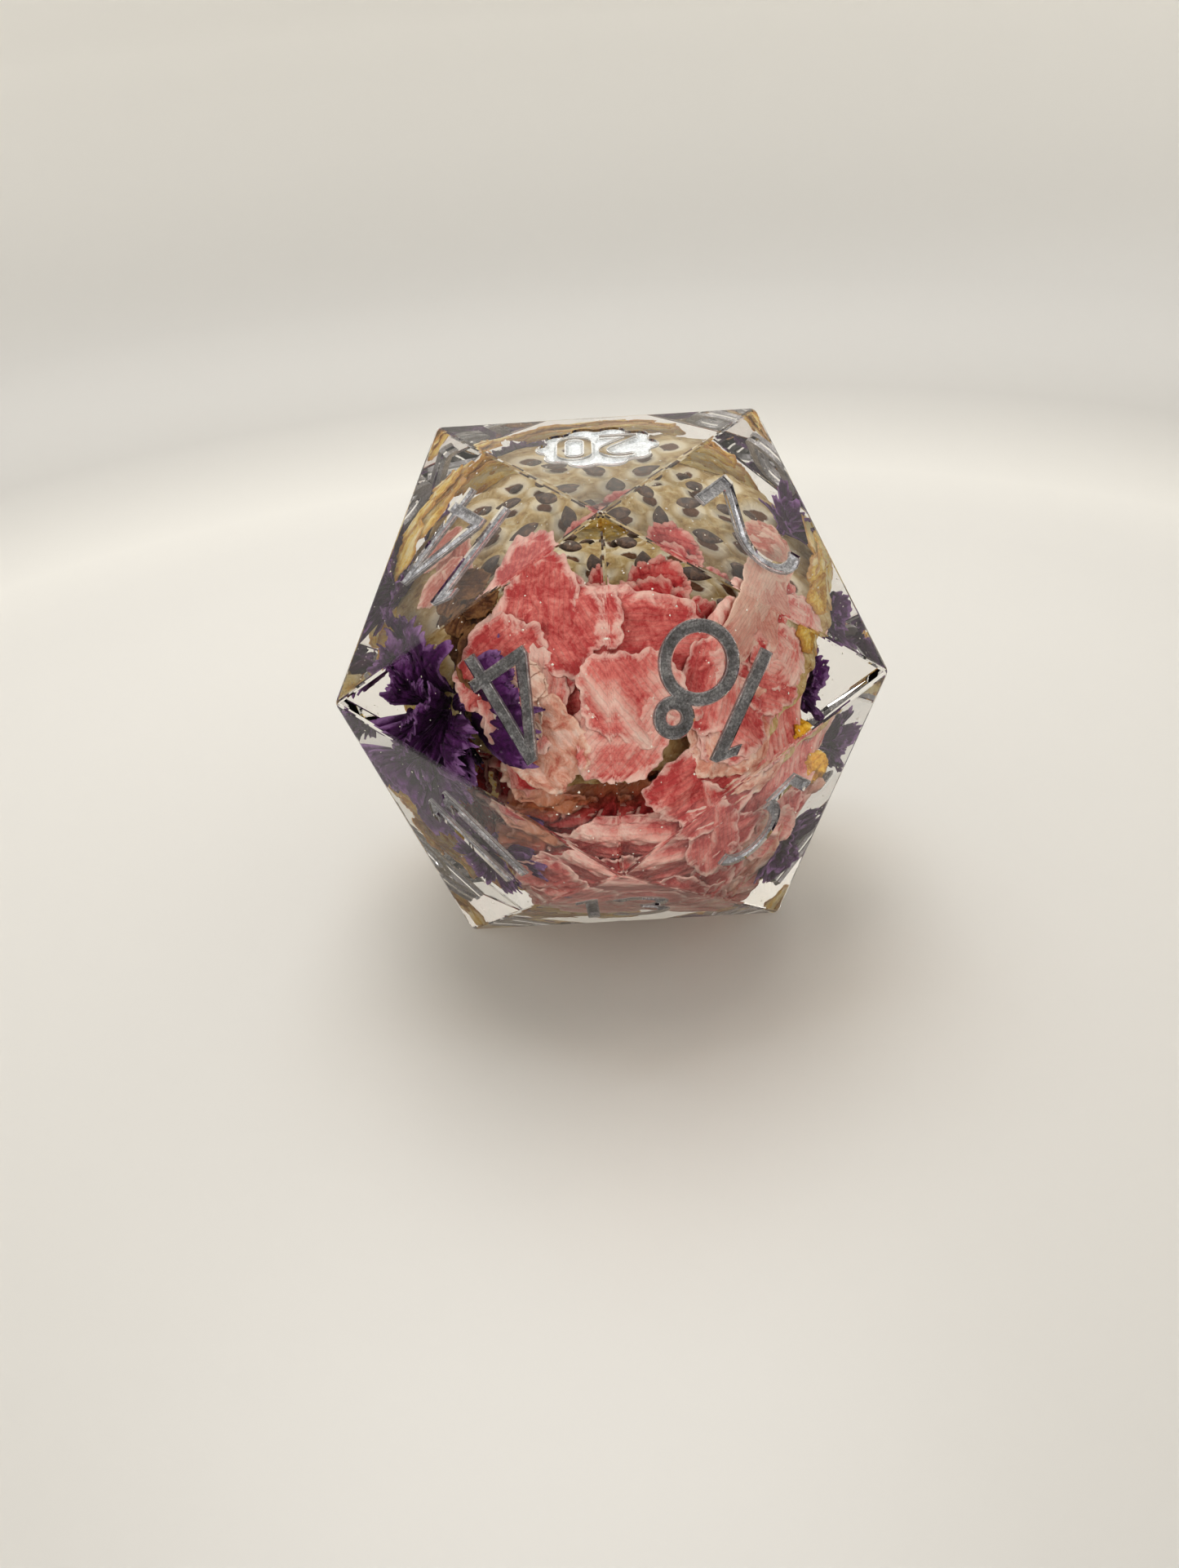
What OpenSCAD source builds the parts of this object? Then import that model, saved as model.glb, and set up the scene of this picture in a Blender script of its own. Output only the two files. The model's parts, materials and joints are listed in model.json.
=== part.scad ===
// Twenty-sided die of clear cast resin with dried flowers sealed inside and painted, sunk numbers.
// The origin is the centre of the face that the die rests on, and +Z is up.

/* [Die] */
// Distance between two opposite faces
across_flats = 22; // [22:0.5:26]

/* [Numbers] */
// Height of a digit
digit_h = 5.1; // [4.4:0.1:5.4]
// Width of a digit's stroke, as a share of its height
stroke_share = 0.11; // [0.08:0.01:0.12]
// Gap between two digits, as a share of their height
digit_gap_share = 0.1; // [0.06:0.01:0.14]
// Depth of the sunk numbers below the face
recess_depth = 0.4; // [0.3:0.05:0.45]
// Depth from the face to the top of the paint
paint_below_face = 0.12; // [0.05:0.01:0.2]
// Radius of the scalloped badge that carries the highest number
badge_r = 2.55; // [2.2:0.05:2.8]
// Number of scallops round the badge
badge_scallops = 10; // [8:1:14]
// Height of the digits inside the badge
badge_digit_h = 3; // [2.6:0.1:3.2]

/* [Dried flowers] */
// Thickness of a dried petal
petal_t = 0.3; // [0.2:0.02:0.3]
// Wall thickness of a papery floret
floret_wall = 0.3; // [0.25:0.05:0.35]
// Thickness of the dried fruit slice
slice_t = 0.8; // [0.6:0.1:0.8]
// Length of a seed
seed_l = 1.6; // [1.2:0.1:1.7]

/* [Hidden] */
phi = (1 + sqrt(5)) / 2; // golden ratio
edge = across_flats * sqrt(3) / pow(phi, 2); // length of an edge of the die
half_h = across_flats / 2; // centre of the die above its resting face
cap_r = edge / sqrt(3); // radius of the top and bottom triangles
ring_r = cap_r * phi; // radius of the two rings of corners between them
ring_z = edge / (2 * sqrt(3)) * (phi - 1); // height of the upper ring above the centre
clear_cut = 0.2; // how far a recess runs out past the face

// Corners: top triangle, upper ring, lower ring, bottom triangle
F = 0;
TR = 1;
TL = 2;
L = 3;
R = 4;
BK = 5;
B = 6;
RR = 7;
LL = 8;
BL = 9;
BR = 10;
BB = 11;
CORNERS = concat(
    [for (a = [270, 30, 150]) [cap_r * cos(a), cap_r * sin(a), half_h]],
    [for (a = [210, 330, 90]) [ring_r * cos(a), ring_r * sin(a), ring_z]],
    [for (a = [270, 30, 150]) [ring_r * cos(a), ring_r * sin(a), -ring_z]],
    [for (a = [210, 330, 90]) [cap_r * cos(a), cap_r * sin(a), -half_h]]
);

// Faces in the order of their numbers, 1 to 20. Each starts with the corner that its number points to.
// Opposite faces add up to 21.
FACES = [
    [BB, BL, BR], [R, F, TR], [LL, BK, BB], [B, F, L], [R, B, BR],
    [TL, L, LL], [RR, BB, BR], [BK, TR, TL], [LL, L, BL], [TR, RR, BK],
    [L, BL, B], [TR, R, RR], [B, BL, BR], [L, F, TL], [R, RR, BR],
    [TL, LL, BK], [RR, BK, BB], [B, F, R], [LL, BB, BL], [F, TR, TL]
];

// Left and right ends of each digit, 0 to 9, as shares of its height
DIGIT_SPAN = [
    [-0.25, 0.25], [-0.14, 0.05], [-0.33, 0.24], [-0.28, 0.26], [-0.33, 0.24],
    [-0.18, 0.3], [-0.34, 0.34], [-0.3, 0.3], [-0.345, 0.345], [-0.34, 0.34]
];

// Middle of the bunch of dried petals, from the centre of the die
bunch = [0.4, 0.5, -0.5];

// Petals of the bunch: name, radius of its curve, direction (azimuth, elevation), roll, width, height, colour
PETALS = [
    ["pink_petal_top", 7.3, -90, 38, 0, 8.2, 4.4, "indianred"],
    ["pink_petal_front", 8.1, -93, 6, 4, 8.6, 5.4, "lightpink"],
    ["pink_petal_core", 5.2, -92, 16, -8, 8, 6.4, "crimson"],
    ["pink_petal_left", 6.6, -132, -8, 10, 4, 5.8, "lightcoral"],
    ["pink_petal_right", 7.7, -48, 8, -14, 4.8, 7.8, "palevioletred"],
    ["pink_petal_low", 7.2, -92, -20, 8, 7.6, 5.6, "indianred"],
    ["pink_petal_base", 8.1, -78, -40, -10, 6.6, 4.6, "lightpink"],
    ["pink_petal_inner", 4.6, -85, 0, 0, 7.4, 7.4, "firebrick"],
    ["pink_petal_back", 4.9, 95, 0, 12, 6.5, 7, "lightcoral"],
    ["blush_petal_right", 8.6, -40, 36, 24, 6.4, 2.8, "mistyrose"],
    ["blush_petal_left", 8.5, -158, 44, -24, 4.2, 2.2, "mistyrose"],
    ["cream_petal", 8.6, -118, -2, 12, 2.6, 4.2, "antiquewhite"],
    ["yellow_petal_left", 8.6, 156, 38, 40, 3, 3.4, "khaki"],
    ["yellow_petal_right", 8.4, 0, 20, -30, 3, 3.4, "khaki"],
    ["yellow_petal_back", 8.2, 92, 28, 0, 5, 3, "khaki"],
    ["yellow_petal_low", 8, 128, -34, 20, 4, 3.2, "lemonchiffon"],
    ["brown_sepal", 8, -138, 34, 30, 1.6, 2.6, "saddlebrown"]
];

// Papery florets: name, place of the base from the centre of the die, direction (azimuth, elevation),
// radius of the mouth, length
FLORETS = [
    ["purple_floret_front", [-5.7, -1.4, 0.7], -126, 12, 2.5, 3.6],
    ["purple_floret_low", [-4.3, -3.1, -5], -112, -12, 1.7, 2.9],
    ["purple_floret_left", [-6.2, 1.8, 1.6], 165, 18, 1.9, 2.5],
    ["purple_floret_right", [6.6, 1.6, -1.2], 24, -6, 1.8, 2.8],
    ["purple_floret_top", [6, 1.6, 3.9], 38, 22, 1.6, 2.2],
    ["purple_floret_back", [-2.6, 5.6, -2.2], 112, -8, 1.8, 2.8],
    ["purple_floret_base", [4.6, -1.4, -5.9], -30, -24, 1.5, 2.2]
];

// Dry stem pieces: name, start, end, radii at the start and at the end, colour
STEMS = [
    ["amber_bud", [-6.2, -3.2, -3.4], [-6.7, -3.6, -1.6], 0.62, 0.2, "tan"],
    ["gold_stamen", [6.6, -3.8, -2.6], [8, -2.9, -1.6], 0.2, 0.5, "goldenrod"],
    ["dry_stem_left", [-5.4, 0.6, -6.6], [-3.2, -1.6, -7.9], 0.28, 0.2, "peru"],
    ["dry_stem_back", [1.2, 6.9, -5.6], [4.2, 5.3, -4.4], 0.3, 0.22, "peru"]
];

// Dried fruit slice: a shallow dome round the bunch, seen from above and from the front
slice_r = 6.2; // radius of the dome's middle surface
slice_w = 11.6; // size across the dome's outline
slice_azimuth = -80;
slice_elevation = 74;
seed_w = seed_l * 0.62;
seed_proud = 0.12; // how far a seed stands above the slice
// Rows of seeds: angle from the middle of the dome, number of seeds, turn of the first seed
SEED_ROWS = [[0, 1, 0], [19, 6, 14], [37, 12, 0], [55, 16, 8]];

NUMBER_NODES = [for (n = [1:20]) number_node(n)];

function number_node(n) = str("number_", n < 10 ? "0" : "", n);
function unit(v) = v / norm(v);
function middle(f) = (CORNERS[f[0]] + CORNERS[f[1]] + CORNERS[f[2]]) / 3;
function leans_out(f) = cross(CORNERS[f[1]] - CORNERS[f[0]], CORNERS[f[2]] - CORNERS[f[0]]) * middle(f) > 0;
function wound(f) = leans_out(f) ? [f[2], f[1], f[0]] : f;

// Places its children on a face: X and Y lie in the face, Y points to its first corner, Z points out of the die
module on_face(f) {
    m = middle(f);
    z = unit(m);
    y = unit(CORNERS[f[0]] - m);
    x = cross(y, z);
    multmatrix([
        [x[0], y[0], z[0], m[0]],
        [x[1], y[1], z[1], m[1]],
        [x[2], y[2], z[2], m[2]]
    ])
        children();
}

// A line of even width through points, with mitred corners and square ends
function normal_at(p, i) =
    let (
        a = unit(p[min(i + 1, len(p) - 1)] - p[min(i, len(p) - 2)]),
        b = unit(p[max(i, 1)] - p[max(i - 1, 0)]),
        na = [-a[1], a[0]],
        nb = [-b[1], b[0]]
    )
    (na + nb) / (1 + na * nb);
module stroke(p) {
    side = [for (i = [0:len(p) - 1]) normal_at(p, i) * stroke_share / 2];
    polygon(concat(
        [for (i = [0:len(p) - 1]) p[i] + side[i]],
        [for (i = [len(p) - 1:-1:0]) p[i] - side[i]]
    ));
}
function arc(c, r, from, to, steps) =
    [for (i = [0:steps]) let (a = from + (to - from) * i / steps) c + r * [cos(a), sin(a)]];
module loop(c, r) {
    translate(c)
        difference() {
            circle(r = r + stroke_share / 2, $fn = 48);
            circle(r = r - stroke_share / 2, $fn = 48);
        }
}

// Digits of height 1, centred on the origin
module zero() {
    difference() {
        tall_round(0.25);
        tall_round(0.25 - stroke_share);
    }
}
module tall_round(r) {
    square([2 * r, 0.5], center = true);
    for (y = [-0.25, 0.25]) {
        translate([0, y])
            circle(r = r, $fn = 48);
    }
}
module one() {
    h = stroke_share / 2;
    polygon([[-h, -0.5], [h, -0.5], [h, 0.5], [0, 0.5], [-0.14, 0.37], [-0.14, 0.27], [-h, 0.35]]);
}
module two() {
    stroke(concat(arc([-0.1, 0.17], 0.28, 125, -40, 12), [[-0.28, -0.45]]));
    translate([-0.33, -0.5])
        square([0.55, stroke_share]);
}
module three() {
    stroke(arc([-0.03, 0.235], 0.215, 145, -80, 12));
    stroke(arc([-0.03, -0.215], 0.235, 80, -145, 12));
}
module four() {
    difference() {
        polygon([
            [0.07, 0.5], [0.17, 0.5], [0.17, -0.23], [0.24, -0.23], [0.24, -0.33], [0.17, -0.33],
            [0.17, -0.5], [0.07, -0.5], [0.07, -0.33], [-0.33, -0.33], [-0.33, -0.25]
        ]);
        polygon([[0.07, 0.31], [0.07, -0.23], [-0.2, -0.23]]);
    }
}
module five() {
    stroke([[0.26, 0.44], [-0.03, 0.45], [-0.1, 0.17]]);
    stroke(arc([-0.07, -0.14], 0.31, 98, -98, 14));
}
module six() {
    loop([0, -0.16], 0.29);
    stroke(arc([0.36, -0.16], 0.65, 176, 110, 8));
}
module seven() {
    stroke([[-0.3, 0.45], [0.22, 0.45], [-0.1, -0.5]]);
}
module eight() {
    loop([0, -0.155], 0.295);
    loop([0, 0.33], 0.12);
}
module digit(d) {
    if (d == 0) zero();
    if (d == 1) one();
    if (d == 2) two();
    if (d == 3) three();
    if (d == 4) four();
    if (d == 5) five();
    if (d == 6) six();
    if (d == 7) seven();
    if (d == 8) eight();
    if (d == 9) rotate(180) six();
}

// A one- or two-digit number of height 1, centred. A bar under 6 and 9 tells them apart.
module number_outline(n) {
    tens = floor(n / 10);
    ones = n % 10;
    width = function(d) DIGIT_SPAN[d][1] - DIGIT_SPAN[d][0];
    total = width(ones) + (tens > 0 ? width(tens) + digit_gap_share : 0);
    translate([total / 2 - DIGIT_SPAN[ones][1], 0])
        digit(ones);
    if (tens > 0) {
        translate([-total / 2 - DIGIT_SPAN[tens][0], 0])
            digit(tens);
    }
    if (n == 6 || n == 9) {
        translate([0, -0.5 - stroke_share * 1.2])
            square([0.4, stroke_share * 0.9], center = true);
    }
}

// Scalloped badge with the highest number standing clear in it
module badge_outline(n) {
    difference() {
        union() {
            circle(r = badge_r * 0.94, $fn = 64);
            for (i = [0:badge_scallops - 1]) {
                rotate(i * 360 / badge_scallops)
                    translate([badge_r * 0.8, 0])
                        circle(r = badge_r * 0.26, $fn = 32);
            }
        }
        scale(badge_digit_h)
            number_outline(n);
    }
}
module marking(n) {
    if (n == len(FACES)) {
        badge_outline(n);
    } else {
        scale(digit_h)
            number_outline(n);
    }
}
module number_recess(n) {
    on_face(FACES[n - 1])
        translate([0, 0, -recess_depth])
            linear_extrude(height = recess_depth + clear_cut)
                marking(n);
}
module number_paint(n) {
    color("silver")
        translate([0, 0, half_h])
            on_face(FACES[n - 1])
                translate([0, 0, -recess_depth])
                    linear_extrude(height = recess_depth - paint_below_face)
                        marking(n);
}

// A curved sheet of the given outline, cut from a hollow ball round the origin and facing +X.
// The ball is turned so that its own seam lies on the far side.
module curved_sheet(radius, thickness) {
    intersection() {
        rotate([0, 0, 180])
            difference() {
                sphere(r = radius + thickness / 2, $fn = 96);
                sphere(r = radius - thickness / 2, $fn = 96);
            }
        rotate([0, 90, 0])
            linear_extrude(height = radius * 1.5)
                children();
    }
}
function petal_edge(width, height) = [
    for (a = [15:30:345])
        let (ruffle = 1 + 0.05 * cos(3 * a + 20))
        ruffle * [height / 2 * cos(a), width / 2 * sin(a)]
];
module aimed(azimuth, elevation, roll = 0) {
    rotate([0, 0, azimuth])
        rotate([0, -elevation, 0])
            rotate([roll, 0, 0])
                children();
}
module petal(p) {
    translate(bunch)
        aimed(p[2], p[3], p[4])
            curved_sheet(p[1], petal_t)
                polygon(petal_edge(p[5], p[6]));
}

// A trumpet of one thin wall, closed at the base, standing on its base along +X
module floret(f) {
    r = f[4];
    h = f[5];
    w = floret_wall;
    translate(f[1])
        aimed(f[2], f[3])
            rotate([0, 90, 0])
                rotate_extrude($fn = 48)
                    polygon([
                        [0, 0], [0.45, 0], [0.6, h * 0.4], [r, h - w], [r, h],
                        [r - w, h], [0.6 - w, h * 0.4 + w], [0, h * 0.4]
                    ]);
}

// A tapered stem piece between two points
module stem(s) {
    run = s[2] - s[1];
    translate(s[1])
        aimed(atan2(run[1], run[0]), asin(run[2] / norm(run)))
            rotate([0, 90, 0])
                cylinder(h = norm(run), r1 = s[3], r2 = s[4], $fn = 32);
}

// The slice's dome, and its teardrop seeds sunk half into it
module slice_dome() {
    translate(bunch)
        aimed(slice_azimuth, slice_elevation)
            curved_sheet(slice_r, slice_t)
                circle(r = slice_w / 2, $fn = 64);
}
module seeds() {
    translate(bunch)
        aimed(slice_azimuth, slice_elevation)
            for (row = SEED_ROWS) {
                for (i = [0:row[1] - 1]) {
                    rotate([row[2] + i * 360 / row[1], 0, 0])
                        rotate([0, -row[0], 0])
                            translate([slice_r, 0, 0])
                                seed();
                }
            }
}

// A seed lying flat on the YZ plane, with its point along +Z
module seed() {
    rotate([90, 0, 90])
        linear_extrude(height = slice_t / 2 + seed_proud)
            polygon(concat(
                [for (a = [-210:40:30]) seed_w / 2 * [cos(a), sin(a)]],
                [[0, seed_l - seed_w / 2]]
            ));
}

module resin_body() {
    color("gainsboro", 0.4)
        translate([0, 0, half_h])
            difference() {
                polyhedron(points = CORNERS, faces = [for (f = FACES) wound(f)]);
                for (n = [1:len(FACES)]) {
                    number_recess(n);
                }
                for (p = PETALS) {
                    petal(p);
                }
                for (f = FLORETS) {
                    floret(f);
                }
                for (s = STEMS) {
                    stem(s);
                }
                slice_dome();
                seeds();
            }
}
module petal_piece(p) {
    color(p[7])
        translate([0, 0, half_h])
            petal(p);
}
module floret_piece(f) {
    color("indigo")
        translate([0, 0, half_h])
            floret(f);
}
module stem_piece(s) {
    color(s[5])
        translate([0, 0, half_h])
            stem(s);
}
module fruit_slice() {
    color("darkkhaki")
        translate([0, 0, half_h])
            difference() {
                slice_dome();
                seeds();
            }
}
module fruit_seeds() {
    color("dimgray")
        translate([0, 0, half_h])
            seeds();
}

resin_body();
for (n = [1:len(FACES)]) {
    number_paint(n);
}
for (p = PETALS) {
    petal_piece(p);
}
for (f = FLORETS) {
    floret_piece(f);
}
for (s = STEMS) {
    stem_piece(s);
}
fruit_slice();
fruit_seeds();
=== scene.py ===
"""Looks of a clear resin die with dried flowers sealed inside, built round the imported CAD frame.

Lengths are metres.
"""

import itertools
import json
import math

import bmesh
import bpy
import numpy as np
from mathutils import Matrix, Vector

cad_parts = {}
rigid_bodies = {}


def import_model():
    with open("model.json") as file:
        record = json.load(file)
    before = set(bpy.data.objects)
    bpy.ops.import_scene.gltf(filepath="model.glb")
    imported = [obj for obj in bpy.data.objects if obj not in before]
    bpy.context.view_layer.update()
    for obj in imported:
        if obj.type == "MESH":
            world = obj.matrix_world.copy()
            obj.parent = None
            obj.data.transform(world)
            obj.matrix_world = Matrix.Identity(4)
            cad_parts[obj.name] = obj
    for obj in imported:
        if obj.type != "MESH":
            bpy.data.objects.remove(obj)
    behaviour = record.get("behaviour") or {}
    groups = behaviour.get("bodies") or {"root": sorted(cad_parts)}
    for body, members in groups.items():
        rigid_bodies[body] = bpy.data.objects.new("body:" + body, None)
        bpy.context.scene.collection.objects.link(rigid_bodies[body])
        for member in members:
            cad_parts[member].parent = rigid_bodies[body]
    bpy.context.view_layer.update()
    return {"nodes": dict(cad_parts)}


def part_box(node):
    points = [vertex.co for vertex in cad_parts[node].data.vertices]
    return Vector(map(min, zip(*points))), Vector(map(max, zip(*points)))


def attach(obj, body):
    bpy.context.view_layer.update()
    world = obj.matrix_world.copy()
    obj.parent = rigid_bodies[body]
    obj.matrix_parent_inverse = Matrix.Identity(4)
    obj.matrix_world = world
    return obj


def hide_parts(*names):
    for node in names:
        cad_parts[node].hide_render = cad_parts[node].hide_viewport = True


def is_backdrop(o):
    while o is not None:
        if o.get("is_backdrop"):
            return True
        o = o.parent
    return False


MM = 0.001
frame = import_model()
NODES = frame["nodes"]

# The die: a regular icosahedron that rests on a face
LOW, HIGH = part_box("resin_body")
ACROSS_FLATS = HIGH.z - LOW.z
APOTHEM = ACROSS_FLATS / 2
CENTRE = np.array((0.0, 0.0, APOTHEM))
GOLDEN = (1 + math.sqrt(5)) / 2
EDGE = ACROSS_FLATS * math.sqrt(3) / GOLDEN**2
EDGE_ROUNDING = 0.13 * MM

# The sunk numbers and the paint in them
FACE_TOLERANCE = 0.02 * MM
GROOVE_STEPS = ((0.05, 0.0), (0.05, 0.05), (0.06, 0.05))  # inset and drop of each step, in mm
RECESS_RIM = 0.03 * MM  # the resin laps this far over the paint's edge
RECESS_FLOOR = 0.34 * MM  # below the face, hidden in the paint
CLEAR = 0.2 * MM

# The bunch of dried flowers
BUNCH = CENTRE + np.array((0.4, 0.5, -0.5)) * MM
SHEET_T = 0.09 * MM
SIDE_CELLS = 120  # cells along each side of a petal's grid
RAGGED = 0.06  # how far a torn outline strays, as a share of its size
FILL_R = 11.3 * MM  # the flowers reach this far into the edges and corners
SOFT_ZONE = 1.1 * MM
OUTER_R = 7.5 * MM  # petals that lie further out than this spread towards the faces
OUTER_SWELL = 0.45
# Parts near the two side corners that hold clear resin only: azimuth, elevation, the angles from that
# direction where it is quite clear and where the flowers start again (degrees), how far they reach there
CLEAR_PARTS = ((-150, 12, 6, 17, 9.8 * MM), (-30, 12, 14, 31, 8.3 * MM), (-2, -4, 12, 30, 8.3 * MM))


def unit(v):
    return np.asarray(v, float) / np.linalg.norm(v)


def corners():
    """The twelve corners of the die: top triangle, upper ring, lower ring, bottom triangle."""
    cap = EDGE / math.sqrt(3)
    ring_z = EDGE / (2 * math.sqrt(3)) * (GOLDEN - 1)
    rows = (
        (cap, APOTHEM, 270),
        (cap * GOLDEN, ring_z, 210),
        (cap * GOLDEN, -ring_z, 270),
        (cap, -APOTHEM, 210),
    )
    found = []
    for radius, height, turn in rows:
        for k in range(3):
            a = math.radians(turn + 120 * k)
            found.append((radius * math.cos(a), radius * math.sin(a), height))
    return np.array(found) + CENTRE


CORNERS = corners()
FACE_NORMALS = np.array(
    [
        unit(sum(c) / 3 - CENTRE)
        for c in itertools.combinations(CORNERS, 3)
        if all(np.linalg.norm(a - b) < 1.01 * EDGE for a, b in itertools.combinations(c, 2))
    ]
)


def direction(azimuth, elevation):
    a, e = math.radians(azimuth), math.radians(elevation)
    return np.array((math.cos(e) * math.cos(a), math.cos(e) * math.sin(a), math.sin(e)))


def eased(value, low, high):
    t = np.clip((value - low) / (high - low), 0, 1)
    return t * t * (3 - 2 * t)


def room_towards(ways, margin):
    """How far flowers reach from the die's centre: to margin under the faces, and less at the corners."""
    room = np.minimum((APOTHEM - margin) / (ways @ FACE_NORMALS.T).max(axis=1), FILL_R)
    for azimuth, elevation, inner, outer, reach in CLEAR_PARTS:
        closeness = ways @ direction(azimuth, elevation)
        near = eased(closeness, math.cos(math.radians(outer)), math.cos(math.radians(inner)))
        room = room * (1 - near) + np.minimum(room, reach) * near
    return room


def held_inside(points, margin, swell=0.0):
    """Points spread towards the faces by the share swell, and pressed back softly where they come too near."""
    away = np.linalg.norm(points - CENTRE, axis=1)
    ways = (points - CENTRE) / away[:, None]
    room = room_towards(ways, margin)
    away = away + swell * np.clip(room - away, 0, None)
    start = room - SOFT_ZONE
    pressed = np.where(away > start, start + SOFT_ZONE * np.tanh((away - start) / SOFT_ZONE), away)
    return CENTRE + ways * pressed[:, None]


# ---------------------------------------------------------------- materials


def tint(red, green, blue):
    """A colour given by its display values, 0 to 255, as a linear colour."""
    return (*[((c / 255 + 0.055) / 1.055) ** 2.4 if c > 10 else c / 3294.6 for c in (red, green, blue)], 1.0)


class Graph:
    """A material's nodes, with short ways to add and join them."""

    def __init__(self, name):
        self.material = bpy.data.materials.new(name)
        self.material.use_nodes = True
        self.tree = self.material.node_tree
        self.tree.nodes.clear()

    def add(self, kind, inputs=None, **settings):
        node = self.tree.nodes.new(kind)
        for key, value in settings.items():
            setattr(node, key, value)
        for key, value in (inputs or {}).items():
            if isinstance(value, bpy.types.NodeSocket):
                self.tree.links.new(value, node.inputs[key])
            else:
                node.inputs[key].default_value = value
        return node

    def value(self, name):
        return self.add("ShaderNodeAttribute", attribute_name=name).outputs["Fac"]

    def place(self, scale):
        """Object coordinates in millimetres, times scale."""
        where = self.add("ShaderNodeTexCoord").outputs["Object"]
        k = scale / MM
        return self.add("ShaderNodeMapping", {"Vector": where, "Scale": (k, k, k)}).outputs[0]

    def sheet_place(self, scale):
        """Coordinates along the sheet in millimetres, times scale."""
        where = self.add("ShaderNodeTexCoord").outputs["UV"]
        return self.add("ShaderNodeMapping", {"Vector": where, "Scale": (scale, scale, scale)}).outputs[0]

    def noise(self, where, scale, detail=4.0, rough=0.6, warp=0.0, kind="FBM"):
        inputs = {"Vector": where, "Scale": scale, "Detail": detail, "Roughness": rough, "Distortion": warp}
        return self.add("ShaderNodeTexNoise", inputs, noise_type=kind).outputs["Fac"]

    def math(self, operation, a, b=0.0, clamp=False):
        return self.add("ShaderNodeMath", {0: a, 1: b}, operation=operation, use_clamp=clamp).outputs[0]

    def ramp(self, factor, stops):
        node = self.add("ShaderNodeValToRGB", {"Fac": factor})
        ends = node.color_ramp.elements
        while len(ends) < len(stops):
            ends.new(0.5)
        for end, (position, colour) in zip(ends, stops):
            end.position = position
            end.color = colour
        return node.outputs["Color"]

    def blend(self, factor, a, b, mode="MIX"):
        node = self.add("ShaderNodeMix", data_type="RGBA", blend_type=mode)
        for index, value in ((0, factor), (6, a), (7, b)):
            if isinstance(value, bpy.types.NodeSocket):
                self.tree.links.new(value, node.inputs[index])
            else:
                node.inputs[index].default_value = value
        return node.outputs[2]

    def bump(self, height, strength, distance):
        inputs = {"Height": height, "Strength": strength, "Distance": distance}
        return self.add("ShaderNodeBump", inputs).outputs[0]

    def output(self, shader):
        self.add("ShaderNodeOutputMaterial", {"Surface": shader})
        return self.material


def grey(level):
    return (level, level, level, 1.0)


def resin_material():
    g = Graph("clear_resin")
    swirl = g.noise(g.place(0.16), 1.0, 2.0, 0.4)
    inputs = {
        "Base Color": tint(250, 248, 245),
        "Roughness": 0.0,
        "IOR": 1.5,
        "Transmission Weight": 1.0,
        "Normal": g.bump(swirl, 0.02, 0.5 * MM),
    }
    glass = g.add("ShaderNodeBsdfPrincipled", inputs).outputs[0]
    clear = g.add("ShaderNodeBsdfTransparent", {"Color": tint(236, 231, 226)}).outputs[0]
    path = g.add("ShaderNodeLightPath")
    lets_by = g.math("MAXIMUM", path.outputs["Is Shadow Ray"], path.outputs["Is Diffuse Ray"])
    mixed = g.add("ShaderNodeMixShader", {0: lets_by, 1: glass, 2: clear})
    return g.output(mixed.outputs[0])


def paint_material(name, dark, middle, light):
    g = Graph(name)
    fleck = g.noise(g.place(1.0), 9.0, 3.0, 0.7)
    patch = g.noise(g.place(1.0), 1.6, 3.0, 0.6)
    mixed = g.math("ADD", g.math("MULTIPLY", fleck, 0.6), g.math("MULTIPLY", patch, 0.4))
    colour = g.ramp(mixed, [(0.34, tint(*dark)), (0.5, tint(*middle)), (0.66, tint(*light))])
    inputs = {
        "Base Color": colour,
        "Metallic": 0.65,
        "Roughness": 0.4,
        "Normal": g.bump(fleck, 0.5, 0.05 * MM),
    }
    return g.output(g.add("ShaderNodeBsdfPrincipled", inputs).outputs[0])


def sheet_shader(g, colour, normal, glow, roughness=0.55, gloss=0.15):
    """A thin dried sheet: light from behind shows through by the share glow."""
    front = g.add(
        "ShaderNodeBsdfPrincipled",
        {"Base Color": colour, "Roughness": roughness, "Specular IOR Level": gloss, "Normal": normal},
    )
    through = g.add("ShaderNodeBsdfTranslucent", {"Color": colour, "Normal": normal})
    return g.add("ShaderNodeMixShader", {0: glow, 1: front.outputs[0], 2: through.outputs[0]}).outputs[0]


TONE_BALANCE = 0.46  # brings the sum of tone, mottle and grain back to the middle of the stops


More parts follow.
